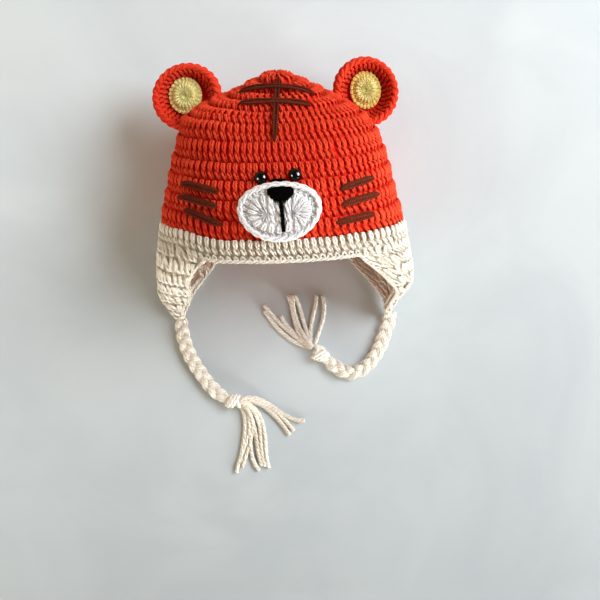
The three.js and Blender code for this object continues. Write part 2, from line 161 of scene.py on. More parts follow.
def hatSkin(angle, rounds):  # the middle of the stitches, flattened where the hat rests
    ring = readTable(rings, rounds)
    side = sine(angle)
    facing = cosine(angle)
    forward = ring["halfDepth"] * facing
    lean = np.radians(ring["lean"])
    past = facing - np.interp(rounds, ridge["round"], ridge["cosine"])
    past = (past + np.sqrt(past * past + 0.01)) / 2
    fold = drape["fold"] * blend(0.1, 0.5, -side) * blend(12.6, 14.2, rounds) * past
    z = ring["height"] + ring["halfDepth"] * (facing - fold) * np.cos(lean)
    sunk = drape["sink"] * blend(0.1, 0.5, -side) * blend(12.7, 15, rounds)
    z = wall["rest"] + (z - wall["rest"]) * (1 - sunk)
    over = z - wall["rest"]
    soft = wall["rest"] + (over + wall["knee"]) ** 2 / (4 * wall["knee"])
    z = np.where(over > wall["knee"], z, np.where(over < -wall["knee"], wall["rest"], soft))
    narrow = drape["pinch"] * blend(14.6, 16, rounds) + drape["slim"] * (1 - blend(9.5, 11, rounds))
    shoulder = blend(2.6, 4.3, rounds) * (1 - blend(5.2, 6.6, rounds)) * blend(0.2, 0.8, -side)
    wider = drape["shoulder"] * shoulder + drape["spread"] * sunk
    x = ring["halfWidth"] * side * (1 - narrow * blend(0.3, 0.9, side) + wider)
    ride = drape["ride"] * blend(0.45, 0.85, -side) * blend(8.5, 11, rounds) * (1 - blend(12, 14, rounds))
    y = ring["station"] - forward * np.sin(lean) - wall["origin"] + ride + 2 * shoulder
    return np.stack([x, y, z], -1)


def onHat(angle, rounds, lift):  # a point on the hat, lifted out of the skin
    angle, rounds, lift = np.broadcast_arrays(*(np.asarray(v, float) for v in (angle, rounds, lift)))
    at = np.maximum(rounds, 0.06)
    along = hatSkin(angle, at + 0.02) - hatSkin(angle, at - 0.02)
    around = hatSkin(angle + 0.5, at) - hatSkin(angle - 0.5, at)
    normal = unit(np.cross(along, around))
    point = hatSkin(angle, np.maximum(rounds, 0)) + normal * lift[..., None]
    point[..., 2] = np.maximum(point[..., 2], 0.04)
    return point


def faceToRing(x, station):  # which angle and round lie over a place on the face
    low = np.full(np.shape(x), 0.05)
    high = np.full(np.shape(x), float(wall["bandEnd"]))
    for _ in range(26):
        middle = (low + high) / 2
        ring = readTable(rings, middle)
        share = np.minimum(np.abs(x) / ring["halfWidth"], 1)
        forward = ring["halfDepth"] * np.sqrt(1 - share**2)
        reach = ring["station"] - forward * sine(ring["lean"])
        inner = (share >= 1) | (reach > station)
        low = np.where(inner, middle, low)
        high = np.where(inner, high, middle)
    width = readTable(rings, low)["halfWidth"]
    return np.degrees(np.arcsin(np.clip(x / width, -1, 1))), low


def onFace(x, station, lift):
    angle, rounds = faceToRing(np.asarray(x, float), np.asarray(station, float))
    return onHat(angle, rounds, lift)


ledge = {  # how a round's stitches bulge, from its crown side to its brim side
    "part":   [0, 0.12, 0.35, 0.7, 1],
    "shape":  [0.15, 0.75, 1, 0.7, 0],
    "mean":   0.55,
    "atTop":  4.6,   # mm; on top of the crown the bulge leans to the brim side instead
    "atSide": 1.5,
    "calm":   0.3,   # how much lower it is at the left and right ends of the top
}


def ledgeLift(part, rounds, angle):
    onSide = blend(3.2, 5.8, rounds)
    sideways = np.abs(sine(angle))
    onTop = ledge["atTop"] * (1 - ledge["calm"] * blend(0.55, 0.95, sideways) * blend(2.2, 3.6, rounds))
    height = onTop + (ledge["atSide"] - onTop) * onSide
    shape = onSide * np.interp(part, ledge["part"], ledge["shape"])
    shape += (1 - onSide) * np.interp(1 - part, ledge["part"], ledge["shape"])
    return height * (shape - ledge["mean"])


# Yarn

def smoothLine(points, count):  # a smooth line through the points, evenly sampled
    points = np.array(points, float)
    columns = {"at": np.arange(len(points))}
    columns.update({str(k): points[:, k] for k in range(points.shape[1])})
    fine = readTable(columns, np.linspace(0, len(points) - 1, 12 * len(points)))
    fine = np.stack(list(fine.values()), -1)
    walked = walkedAlong(fine[:, :3])
    even = np.linspace(0, walked[-1], count)
    return np.stack([np.interp(even, walked, fine[:, k]) for k in range(fine.shape[1])], -1)


def takeMesh(holder):  # the finished mesh of a helper object, which is then removed
    mesh = bpy.data.meshes.new_from_object(holder.evaluated_get(bpy.context.evaluated_depsgraph_get()))
    bpy.data.objects.remove(holder)
    return mesh


def yarnMesh(strands, sides=6, closed=False):  # strands are lists of x, y, z and radius in mm
    curve = bpy.data.curves.new("yarn", "CURVE")
    curve.dimensions = "3D"
    curve.bevel_depth = mm
    curve.bevel_resolution = sides // 2 - 2
    for strand in strands:
        spline = curve.splines.new("POLY")
        spline.points.add(len(strand) - 1)
        spline.use_cyclic_u = closed
        for point, (x, y, z, radius) in zip(spline.points, strand):
            point.co = (x * mm, y * mm, z * mm, 1)
            point.radius = radius
    mesh = takeMesh(addObject("yarn", curve))
    bpy.data.curves.remove(curve)
    lengths = []
    for strand in strands:
        run = np.array(strand)[:, :3]
        if closed:
            run = np.vstack([run, run[:1]])
        lengths += [walkedAlong(run)[-1]] * (4 * sides * (len(run) - 1))
    uv = np.zeros(len(mesh.loops) * 2)
    mesh.uv_layers[0].data.foreach_get("uv", uv)
    uv[::2] *= np.array(lengths)  # along the yarn in mm, round it from 0 to 1
    mesh.uv_layers[0].data.foreach_set("uv", uv)
    return mesh


def readVerts(mesh):
    flat = np.zeros(len(mesh.vertices) * 3)
    mesh.vertices.foreach_get("co", flat)
    return flat.reshape(-1, 3) / mm


def writeVerts(mesh, points):
    mesh.vertices.foreach_set("co", (points * mm).ravel())
    mesh.update()


def repeatMesh(mesh, count):  # copies of one stitch, all in one place
    holder = addObject("row", mesh)
    array = holder.modifiers.new("row", "ARRAY")
    array.count = count
    array.use_relative_offset = False
    return takeMesh(holder)


row = {
    "width": 4.2,  # of a stitch
    "shade": 0.2,  # painted shade: paler by this much for each mm out of the fabric
    "side": 0.035, "tall": 0.02, "stout": 0.06, "tone": 0.12,  # how far the stitches differ
}


# place(u, v, w) gives points in mm. u is in stitches, v runs from the row's top to its foot, and w is
# the height out of the fabric.
def stitchRow(stitch, count, place, lean=0.25, shake=1.0, tone=0.6, sway=0.0):
    mesh = repeatMesh(stitch["mesh"], count)
    points = readVerts(mesh)
    i = np.arange(len(points)) // len(stitch["mesh"].vertices)
    side = dice.normal(0, row["side"], count)[i] * shake
    tall = dice.normal(0, row["tall"], count)[i] * shake
    stout = 1 + dice.normal(0, row["stout"], count)[i] * shake
    lean = lean + dice.normal(0, 1, count)[i] * sway
    v = 1 - points[:, 1] / stitch["height"]
    u = i + 0.5 + points[:, 0] / row["width"] * stout + lean * (v - 0.5) + side * (1 + v)
    writeVerts(mesh, place(u, v + tall * (1 - v), points[:, 2] * stout))
    # Each stitch's tone differs at random, and painted shade darkens its yarn deep in the fabric
    return mesh, dice.normal(tone, row["tone"], count)[i] + row["shade"] * (points[:, 2] - 0.5)


def meshOf(name, bm):
    mesh = bpy.data.meshes.new(name)
    bm.to_mesh(mesh)
    bm.free()
    return mesh


def sheetMesh(across, along, place, tone=-0.1):  # its points are place(u, v), u and v from 0 to 1. By default its low tone paints it dark, as painted shade between the stitches
    bm = bmesh.new()
    uvLayer = bm.loops.layers.uv.new("UVMap")
    bmesh.ops.create_grid(bm, x_segments=across, y_segments=along, size=0.5)
    for face in bm.faces:
        for loop in face.loops:
            loop[uvLayer].uv = ((loop.vert.co.x + 0.5) * across * 2, loop.vert.co.y + 0.5)
    mesh = meshOf("sheet", bm)
    points = readVerts(mesh) * mm + 0.5
    writeVerts(mesh, place(points[:, 0], 1 - points[:, 1]))
    return mesh, np.full(len(points), tone)


def doubled(v):  # out to the edge and back, for a sheet with two faces
    return np.minimum(v * 2, 1) - np.clip(v * 2 - 1, 0, 1)


# depth is how much paler the yarn gets for each mm up: painted light on top, painted shade lower down
def strandsMesh(strands, sides=8, closed=False, tone=0.62, depth=0.0):
    mesh = yarnMesh(strands, sides, closed)
    counts = [len(strand) * sides for strand in strands]
    tones = np.repeat(np.clip(dice.normal(tone, 0.1, len(strands)), 0.1, 1), counts)
    z = readVerts(mesh)[:, 2]
    return mesh, tones + depth * (z - z.mean())


def finishPiece(name, bm, material, nodes=()):
    for face in bm.faces:
        face.smooth = True
    mesh = meshOf(name, bm)
    mesh.materials.clear()
    mesh.materials.append(material)
    piece = addObject(name, mesh)
    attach(piece, "root")
    if nodes:
        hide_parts(*nodes)
    return piece


# Joins meshes into one piece. Those numbered in close have their own edges and poles merged.
def joinPiece(name, parts, colour, nodes=(), close=(), clip=None):
    bm = bmesh.new()
    for k, (mesh, tone) in enumerate(parts):
        attribute = mesh.attributes.get("tone") or mesh.attributes.new("tone", "FLOAT", "POINT")
        attribute.data.foreach_set("value", np.asarray(tone, np.float32))
        before = len(bm.verts)
        bm.from_mesh(mesh)
        bm.verts.ensure_lookup_table()
        if k in close:
            bmesh.ops.remove_doubles(bm, verts=bm.verts[before:], dist=0.02 * mm)
            bm.verts.ensure_lookup_table()
        bpy.data.meshes.remove(mesh)
    if clip:
        buried = [face for face in bm.faces if all(clip(vert.co) for vert in face.verts)]
        bmesh.ops.delete(bm, geom=buried, context="FACES")
        loose = [vert for vert in bm.verts if not vert.link_faces]
        bmesh.ops.delete(bm, geom=loose, context="VERTS")
    return finishPiece(name, bm, yarns[colour], nodes)


# Materials

def addNode(tree, kind, inputs, **settings):  # an input is a value, or an output to link it to
    node = tree.nodes.new("ShaderNode" + kind)
    for name, value in settings.items():
        setattr(node, name, value)
    for key, value in inputs.items():
        if isinstance(value, bpy.types.NodeSocket):
            tree.links.new(value, node.inputs[key])
        else:
            node.inputs[key].default_value = value
    return node


def addMaterial(name, values):  # its shader has these values on its own sockets
    material = bpy.data.materials.new(name)
    material.use_nodes = True
    shader = material.node_tree.nodes["Principled BSDF"]
    for key, value in values.items():
        shader.inputs[key].default_value = value
    return material, material.node_tree, shader


yarn = {
    "plies": 3,
    "meanPly": 0.64,
    "fibre": 2600,     # scale of the fibres
    "drift": 45,       # scale of the slow changes in tone
    "toneShare": 0.75, "driftShare": 0.3, "plyShadeShare": 0.45, "fibreShare": 0.16,  # of the colour; the ply grooves are painted darker, as painted shade
    "plyRise": 0.9, "fibreRise": 0.8, "depth": 0.35,  # of the relief, its depth in mm
}


# Twisted yarn. The twist follows the UV map: along the yarn in mm, round it from 0 to 1.
def yarnMaterial(name, light, dark, twist=2.6, bump=0.9, sheen=0.25, shine=0.12):
    material, tree, shader = addMaterial(name, {
        "Roughness": 0.82, "Specular IOR Level": shine,
        "Sheen Weight": sheen, "Sheen Roughness": 0.45, "Sheen Tint": (*light, 1),
    })

    def calculate(operation, first, second=0):
        return addNode(tree, "Math", {0: first, 1: second}, operation=operation).outputs[0]

    def noise(scale, detail):
        inputs = {"Vector": place.outputs["Object"], "Scale": scale, "Detail": detail}
        return addNode(tree, "TexNoise", inputs).outputs["Fac"]

    place = addNode(tree, "TexCoord", {})
    split = addNode(tree, "SeparateXYZ", {0: place.outputs["UV"]})
    around = calculate("MULTIPLY", split.outputs["Y"], yarn["plies"])
    turns = calculate("ADD", calculate("MULTIPLY", split.outputs["X"], 1 / twist), around)
    ply = calculate("ABSOLUTE", calculate("SINE", calculate("MULTIPLY", turns, pi)))
    fibre = noise(yarn["fibre"], 3)
    drift = calculate("MULTIPLY", noise(yarn["drift"], 2), yarn["driftShare"])

    # The tone holds each stitch's random tone and its painted light and shade, so the dark end also paints
    # shaded gaps
    tone = addNode(tree, "Attribute", {}, attribute_name="tone").outputs["Fac"]
    shade = calculate("ADD", calculate("MULTIPLY", tone, yarn["toneShare"]), drift)
    # The ply grooves are painted darker: painted shade
    above = calculate("SUBTRACT", ply, yarn["meanPly"])
    shade = calculate("ADD", shade, calculate("MULTIPLY", above, yarn["plyShadeShare"]))
    shade = calculate("ADD", shade, calculate("MULTIPLY", fibre, yarn["fibreShare"]))
    colours = {"Factor": shade, "A": (*dark, 1), "B": (*light, 1)}
    mix = addNode(tree, "Mix", colours, data_type="RGBA", clamp_factor=True)
    tree.links.new(mix.outputs["Result"], shader.inputs["Base Color"])

    relief = calculate("MULTIPLY", ply, yarn["plyRise"])
    relief = calculate("ADD", relief, calculate("MULTIPLY", fibre, yarn["fibreRise"]))
    raised = addNode(tree, "Bump", {"Height": relief, "Strength": bump, "Distance": yarn["depth"] * mm})
    tree.links.new(raised.outputs["Normal"], shader.inputs["Normal"])
    return material


yarns = {
    "red": yarnMaterial("redYarn", (0.88, 0.082, 0.032), (0.68, 0.001, 0.0003), sheen=0.04, shine=0.03),
    "cream": yarnMaterial("creamYarn", (0.95, 0.91, 0.83), (0.61, 0.51, 0.39), sheen=0.2),
    "yellow": yarnMaterial("yellowYarn", (1.0, 0.97, 0.44), (1.0, 0.74, 0.17), bump=0.7),
    "white": yarnMaterial("whiteYarn", (0.88, 0.88, 0.91), (0.66, 0.635, 0.64), bump=0.5),
    "brown": yarnMaterial("brownYarn", (0.22, 0.034, 0.012), (0.01, 0.001, 0.0005), twist=2.2, bump=1.5,
                          sheen=0, shine=0.03),
    "black": yarnMaterial("blackYarn", (0.003, 0.003, 0.003), (0.0015, 0.0015, 0.0015), bump=0.3,
                          sheen=0, shine=0),
}


# Stitches: x across, y up from the foot, z out of the fabric and the yarn's radius, in mm

tallStitch = {
    "height": 12,
    "loop": [(0.15, 4.2, -0.5, 0.3), (-0.5, 6.6, 0.6, 0.74), (-0.84, 9.6, 1.0, 0.8),
             (-0.35, 11.7, 0.65, 0.74), (0.45, 11.6, 0.65, 0.74), (0.82, 9.2, 1.0, 0.8),
             (0.45, 6.2, 0.6, 0.74), (0.3, 4.2, -0.5, 0.3)],
    "leaves": [[(-1.7, 6.0, -0.6, 0.3), (-0.75, 3.9, 0.75, 0.8), (0.2, 1.7, 0.9, 0.8),
                (0.9, -0.3, -0.2, 0.3)],
               [(0.6, 5.0, -0.4, 0.3), (1.35, 2.6, 0.55, 0.74), (2.1, 0.2, -0.2, 0.3)]],
}
shortStitch = {
    "height": 7.5,
    "loop": [(-0.2, 2.0, -0.5, 0.3), (-0.75, 4.4, 0.75, 0.84), (-0.5, 6.8, 0.6, 0.8), (0.5, 6.9, 0.6, 0.8),
             (0.8, 4.3, 0.75, 0.84), (0.4, 2.0, -0.5, 0.3)],
    "leaves": [[(-1.6, 4.2, -0.6, 0.3), (-0.4, 2.2, 0.9, 0.92), (0.9, 0.9, 0.6, 0.84),
                (1.8, -0.2, -0.4, 0.3)]],
}
beadStitch = {
    "height": 4,
    "loop": [(-1.1, 0.4, -0.6, 0.6), (-0.8, 2.4, 0.4, 0.8), (0.1, 3.4, 0.7, 0.85), (0.9, 2.2, 0.5, 0.8),
             (1.3, 0.3, -0.6, 0.6)],
    "leaves": [],
}
for stitch in (tallStitch, shortStitch, beadStitch):
    lines = [stitch["loop"], *stitch["leaves"]]
    stitch["mesh"] = yarnMesh([smoothLine(line, len(line)) for line in lines])


# Crown

crown = {
    "stitches": [14, 28, 42, 56, 68, 78, 84, 86, 86, 86, 86],  # in each round
    "inside": 3.4,   # depth of the inner stitches
    "pressed": 0.8,  # how much flatter they are
    "flat": 7.0,     # degrees by which the stitches crowd on the flatter front and back
    "sheet": (-0.9, 0.9),  # lift of the front sheet, and its share of the ledges
}


def roundTurn(turn, rounds):
    return turn - crown["flat"] * sine(2 * turn) * blend(3, 6, rounds)


def crownRound(index, count, inner):
    def place(u, v, w):
        part = v if index else 0.05 + 0.95 * v  # the first round closes on the pole
        angle = roundTurn(360 * u / count, index + part)
        if inner:
            return onHat(-angle, index + part, -crown["inside"] - crown["pressed"] * w)
        return onHat(angle, index + part, w + ledgeLift(part, index + part, angle))
    return stitchRow(shortStitch if inner else tallStitch, count, place)


def crownSheet(u, v):  # the two faces of the fabric between the stitches
    angle = 360 * u - 180
    rounds = wall["crownRounds"] * doubled(v)
    lift, share = crown["sheet"]
    front = lift + share * ledgeLift(rounds - np.floor(rounds), rounds, angle)
    return onHat(angle, rounds, np.where(v <= 0.5, front, -wall["thick"]))


outside = [sheetMesh(108, 132, crownSheet)]
outside += [crownRound(index, count, inner=False) for index, count in enumerate(crown["stitches"])]
crownPiece = joinPiece("crown_stitches", outside, "red", ["crown"], close=(0,))
inside = [crownRound(index, count, inner=True) for index, count in enumerate(crown["stitches"])]
joinPiece("crown_inside", inside, "red")
print("crown:", len(crownPiece.data.polygons), "faces")


# Brim band and flaps

band = {
    "stitches": 90,
    "foot": 11.86,  # where the tall stitches end, in rounds
    "edge": 12.24,  # where the chain runs along the front and back brim
    "tooth": 0.14,  # how far the cream row bites into the red one, in rounds
    "lift": 0.5,
    "arch": 0.4,    # further lift in the row's middle
    "bead": 3.4,    # degrees along the foot for each bead
    "beadSize": 0.65,
    "beadLift": 0.4,
    "tone": 0.4,
    "paler": 0.5,   # at the left side, as painted light
}


def bandRow(inner):
    def place(u, v, w):
        top = wall["crownRounds"] - band["tooth"]
        rounds = top + (band["foot"] - top) * v
        angle = roundTurn(360 * u / band["stitches"], rounds)
        if inner:
            return onHat(-angle, rounds, -crown["inside"] - crown["pressed"] * w)
        return onHat(angle, rounds, w + band["lift"] + band["arch"] * np.sin(pi * np.clip(v, 0, 1)))
    turn = 360 * (np.arange(band["stitches"]) + 0.5) / band["stitches"]
    middle = roundTurn(turn, wall["crownRounds"])
    # Painted light makes the band paler at its left side
    tone = band["tone"] + band["paler"] * blend(0.3, 0.8, -sine(middle))
    return stitchRow(tallStitch, band["stitches"], place, tone=tone)


def beadRow(start, end, inner):
    count = round((end - start) / band["bead"])

    def place(u, v, w):
        angle = start + (end - start) * u / count
        if inner:
            angle = start + end - angle
        w = w * band["beadSize"]
        rounds = band["foot"] + (band["edge"] - band["foot"]) * v
        return onHat(angle, rounds, -crown["inside"] - w if inner else w + band["beadLift"])
    return stitchRow(beadStitch, count, place)


def bandSheet(u, v):
    top = wall["crownRounds"] - 0.02
    lift = np.where(v <= 0.5, wall["front"], -wall["thick"])
    return onHat(360 * u - 180, top + (band["edge"] - top) * doubled(v), lift)


flapFront, flapRear = flapReach["right"]["front"][0], flapReach["right"]["rear"][0]
brim = [sheetMesh(108, 10, bandSheet), bandRow(False), bandRow(True)]
for start, end in ((-flapFront, flapFront), (flapRear, 360 - flapRear)):
    brim += [beadRow(start, end, False), beadRow(start, end, True)]
joinPiece("band_stitches", brim, "cream", ["brim_band"], close=(0,))

flap = {
    "rows": 7,
    "start": 11.86,  # in rounds
    "stitch": 4.8,   # width of each in mm
    "spread": (-0.03, 1.04),  # of the stitches, a little past both edges
    "lift": 0.3,
    "pressed": 0.5,  # how much flatter the inner stitches are
    "shake": 2.2,    # how uneven the stitches are
    "sway": 0.6,
    "lean": 1.0,
    # The left flap's yarn is paler, as painted light
    "tone": {"left": 0.95, "right": 0.6},
}


def flapRow(side, reachTable, top, foot, inner):
    middle = readTable(reachTable, (top + foot) / 2)
    edges = onHat(np.linspace(middle["front"], middle["rear"], 30), (top + foot) / 2, 0)
    count = max(2, round(walkedAlong(edges)[-1] / flap["stitch"]))

    def place(u, v, w):
        rounds = top + (foot - top) * v
        reach = readTable(reachTable, np.clip(rounds, wall["bandEnd"], wall["flapEnd"]))
        first, whole = flap["spread"]
        share = np.clip(first + whole * u / count, 0.005, 0.995)
        share = 1 - share if inner != (side < 0) else share
        angle = reach["front"] + (reach["rear"] - reach["front"]) * share
        lift = -crown["inside"] - flap["pressed"] * w if inner else w + flap["lift"]
        return onHat(side * angle, rounds, lift)
    # paler on the left flap, as painted light
    tone = flap["tone"][sideNames[side]]
    return stitchRow(shortStitch, count, place, flap["lean"], flap["shake"], tone, flap["sway"])


def flapSheet(side, reachTable):
    def place(u, v):
        rounds = flap["start"] + (wall["flapEnd"] - flap["start"]) * doubled(v)
        reach = readTable(reachTable, np.maximum(rounds, wall["bandEnd"]))
        share = u if side > 0 else 1 - u
        angle = reach["front"] + (reach["rear"] - reach["front"]) * share
        return onHat(side * angle, rounds, np.where(v <= 0.5, wall["front"], -wall["thick"]))
    return sheetMesh(28, 24, place, tone=0.3)


for side, name in sideNames.items():
    rows = np.linspace(flap["start"], wall["flapEnd"], flap["rows"] + 1)
    reachTable = flapReach[name]
    layers = [flapSheet(side, reachTable)]
    for top, foot in zip(rows, rows[1:]):
        layers += [flapRow(side, reachTable, top, foot, inner) for inner in (False, True)]
    joinPiece("flap_stitches_" + name, layers, "cream", ["ear_flap_" + name])


# Chain edging all round the opening

edging = {"lift": [0.5, -2.4], "radius": 0.75, "throw": 0.6, "link": 4.4}


def edgeLine():  # angle and round along the front brim, one flap, the back brim and the other flap
    down = np.linspace(wall["bandEnd"], wall["flapEnd"], 24)
    front = np.stack([np.linspace(-flapFront, flapFront, 40), np.full(40, band["edge"])], -1)
    back = np.stack([np.linspace(flapRear, 360 - flapRear, 34), np.full(34, band["edge"])], -1)
    flaps = {}
    for name, reachTable in flapReach.items():
        reach = readTable(reachTable, down)
        across = np.linspace(reach["front"][-1], reach["rear"][-1], 8)
        tip = np.stack([across, np.full(8, wall["flapEnd"])], -1)
        frontEdge = np.stack([reach["front"], down], -1)
        rearEdge = np.stack([reach["rear"], down], -1)[::-1]
        flaps[name] = np.vstack([frontEdge[1:], tip[1:-1], rearEdge[:-1]])
    return np.vstack([front, flaps["right"], back, flaps["left"][::-1] * (-1, 1) + (360, 0)])


ropeTip = {"length": 0.12, "radius": 0.08}


# Strands twisted round a line of points in mm. link is the length of one visible strand.
def rope(line, radius, throw, link, plies=2, closed=False, hand=1):
    length = walkedAlong(line)[-1]
    count = max(12, int(length / link * 5))
    middle = smoothLine(line, count)
    ahead = unit(np.gradient(middle, axis=0))
    up = np.array([0, 0, 1.0]) - ahead * ahead[:, 2:]
    short = np.linalg.norm(up, axis=1, keepdims=True)
    up = up / np.maximum(short, 1e-6)
    across = np.cross(ahead, up)
    turns = max(1, round(length / (link * plies))) if closed else length / (link * plies)
    strands = []
    for k in range(plies):
        phase = tau * (hand * np.linspace(0, turns, count) + k / plies)[:, None]
        points = middle + throw * (across * np.cos(phase) + up * np.sin(phase))
        points[:, 2] = np.maximum(points[:, 2], radius + wall["clear"])
        thick = np.full(count, radius)
        if not closed:  # both ends close in a point
            points[0] = points[1] - ahead[0] * ropeTip["length"]
            points[-1] = points[-2] + ahead[-1] * ropeTip["length"]
            thick[0] = thick[-1] = ropeTip["radius"]
        strands.append(np.column_stack([points, thick])[: -1 if closed else None])
    return strands


angles, rounds = edgeLine().T
strands = []
for lift in edging["lift"]:
    line = onHat(angles, rounds, lift)
    line = np.vstack([line, line[:1]])
    strands += rope(line, edging["radius"], edging["throw"], edging["link"], closed=True)
joinPiece("edging_chain", [strandsMesh(strands, 6, closed=True)], "cream")
print("brim, flaps and edging done")


# Ears: cups with a rolled rim, turned about an upright axis and cut by the crown

ear = {
    "left": (-59.9, 149.5),  # x and station of the axis
    "right": (58.2, 148.5),
    "wide": {"left": 1.05, "right": 0.975},
    "tall": {"left": 1.0, "right": 1.035},
    "z": 35.5,
    "tilt": 6,
    "profile": [(0, 0.8), (8, 0.8), (14, 1.3), (18.2, 3.4), (20.9, 7), (21.6, 10.2), (21, 12.4),
                (19.6, 13.1), (17.9, 12.1), (16.6, 9), (14.6, 5.4), (12, 4.3), (6, 4.1), (0, 4.1)],
    "rim": [(22.8, -0.8), (26.3, -0.7), (30.3, -0.3)],  # ropes: place along the profile and lift
    "rope": (1.3, 1.0, 5.0),  # radius, throw and link of each
    "relief": 0.8,  # share of the stitches' height
    "buried": 1.6,  # how deep in the crown a face is left out
}
earLine = smoothLine([(r, h, 0) for r, h in ear["profile"]], 160)
earWalked = walkedAlong(earLine)


def earFrame(side, x, y, height):  # from the ear's own axis to its place on the hat
    tilt = radians(side * ear["tilt"])
    name = sideNames[side]
    middle = ear[name]
    x = x * ear["wide"][name]
    y = y * ear["tall"][name]
    return np.stack([x * cos(tilt) + height * sin(tilt) + middle[0],
                     y + middle[1] - wall["origin"],
                     height * cos(tilt) - x * sin(tilt) + ear["z"]], -1)


def onEar(side, turn, walked, lift):  # turn in degrees, walked in mm along the profile
    def onLine(at, column):
        return np.interp(at, earWalked, earLine[:, column])

    out, rise = (onLine(walked + 0.5, k) - onLine(walked - 0.5, k) for k in (0, 1))
    size = np.hypot(out, rise) + 1e-9
    radius = onLine(walked, 0) + lift * rise / size
    height = onLine(walked, 1) - lift * out / size
    return earFrame(side, radius * cosine(turn), radius * sine(turn), height)


def earRow(side, count, top, foot, lift, tone):
    def place(u, v, w):
        return onEar(side, 360 * u / count, top + (foot - top) * v, ear["relief"] * w + lift)
    return stitchRow(shortStitch, count, place, tone=tone)


crownSkin = bmesh.new()
skinSheet = sheetMesh(72, 40, lambda u, v: onHat(360 * u - 180, wall["crownRounds"] * v, 0))[0]
crownSkin.from_mesh(skinSheet)
bpy.data.meshes.remove(skinSheet)
bmesh.ops.remove_doubles(crownSkin, verts=crownSkin.verts, dist=0.02 * mm)
crownTree = BVHTree.FromBMesh(crownSkin)
crownMiddle = Vector((0, 20, 50)) * mm


def insideCrown(point):
    hit, normal, _, _ = crownTree.find_nearest(point)
    out = normal if normal.dot(hit - crownMiddle) > 0 else -normal
    return (point - hit).dot(out) < -ear["buried"] * mm


earRows = [  # how many stitches, from and to along the profile, lift, tone
    (18, 1.5, 8.5, 0.2, 0.5),
    (30, 8.2, 15.6, 0.2, 0.5),
    (36, 15.2, 22.5, 0.2, 0.5),
    (34, 31.6, 37.0, 0.0, 0.55),
    (28, 36.4, 43.0, 0.0, 0.5),
]
for side, name in sideNames.items():
    parts = [sheetMesh(64, 60, lambda u, v: onEar(side, 360 * u, earWalked[-1] * v, wall["front"]))]
    for count, low, high, lift, tone in earRows:
        parts.append(earRow(side, count, high, low, lift, tone))
    for k, (walked, lift) in enumerate(ear["rim"]):
        ring = onEar(side, np.linspace(0, 360, 121), walked, lift)
        hand = 1 - 2 * (k % 2)  # each against the next, as in a chain
        turned = rope(ring, *ear["rope"], closed=True, hand=hand)
        # depth paints the rim's lower yarn darker, as painted shade
        parts.append(strandsMesh(turned, 8, closed=True, tone=0.4, depth=0.06))
    joinPiece("ear_stitches_" + name, parts, "red", ["ear_" + name], close=(0,), clip=insideCrown)

disc = {
    "base": 6.8,    # height over the ear's foot
    "bulge": 1.6,
    "shift": -0.6, "out": 1.2, "up": 1.6,
    "radius": 10.9, "wide": 0.95, "tall": 1.09,
    "relief": 0.7, "lean": 0.1,  # of the stitches
    "inner": (0.4, 8.0, 20, 0.7, 0.8),     # from, to, how many, lift, tone
    "outer": (7.4, 11.6, 24, -0.4, -0.2),
    # Painted light makes the left disc paler, and painted shade makes the right one darker
    "paler": {"left": 0.8, "right": -0.2},
}


def onDisc(side, turn, radius, lift):
    x = radius * cosine(turn) * disc["wide"]
    y = radius * sine(turn) * disc["tall"]
    bulge = disc["bulge"] * np.sin(np.clip(radius / disc["radius"], 0, 1) * pi) ** 2
    x = x + side * disc["out"] + disc["shift"]
    return earFrame(side, x, y + disc["up"], disc["base"] + bulge + lift)


def discRow(side, low, high, count, lift, tone):
    # paler on the left as painted light, darker on the right as painted shade
    tone += disc["paler"][sideNames[side]]

    def place(u, v, w):
        return onDisc(side, 360 * u / count, high + (low - high) * v, disc["relief"] * w + lift)
    return stitchRow(tallStitch, count, place, disc["lean"], tone=tone)


def discSheet(side):  # a round face whose edge turns down in its last fifth
    def place(u, v):
        turnDown = (v - 0.8) / 0.2
        radius = np.where(v < 0.8, disc["radius"] * v / 0.8, disc["radius"] + 0.5 * np.sin(turnDown * pi))
        return onDisc(side, -360 * u, radius, np.where(v < 0.8, -0.4, -0.4 - 1.6 * turnDown))
    return sheetMesh(48, 16, place, tone=0.7)


for side, name in sideNames.items():
    parts = [discSheet(side), discRow(side, *disc["inner"]), discRow(side, *disc["outer"])]
    joinPiece("ear_disc_" + name, parts, "yellow", ["ear_center_" + name], close=(0,), clip=insideCrown)
print("ears done")


# Muzzle: an oval worked round a short middle line, with a chain rim

muzzle = {
    "x": -0.5,
    "station": 64.1,
    "turn": 1.4,       # degrees, its right end higher
    "brow": 2.6,       # how far both ends ride up, so that its top is flat
    "middle": 7.2,     # half of the middle line
    "low": 1.3,        # how far the middle line lies under the oval's centre
    "halfWidth": 23.9,
    "halfHeight": 16.9,
    "lift": 4.0,
    "fan": 7,          # petals in each end
    "straight": 3,     # stitches along each side
    "lean": -0.3,
    "tone": 0.65,
}
muzzleLoop = 2 * (muzzle["fan"] + muzzle["straight"])


# index counts stitches anticlockwise from the right end. reach is 0 on the middle line, 1 at the edge.
def onMuzzle(index, reach, lift):
    fan, straight = muzzle["fan"], muzzle["straight"]
    at = np.mod(index, muzzleLoop)
    corners = [0, fan, fan + straight, 2 * fan + straight, muzzleLoop]
    turn = np.interp(at, corners, [-72, 72, 108, 252, 288])
    core = np.interp(at, corners, [1, 1, -1, -1, 1]) * muzzle["middle"]
    x = core * (1 - reach) + reach * muzzle["halfWidth"] * cosine(turn)
    y = reach * muzzle["halfHeight"] * sine(turn) - muzzle["low"] * (1 - reach)
    y = y + muzzle["brow"] * reach * cosine(turn) ** 2
    swing = radians(muzzle["turn"])
    return onFace(muzzle["x"] + x * cos(swing) - y * sin(swing),
                  muzzle["station"] + y * cos(swing) + x * sin(swing), lift)


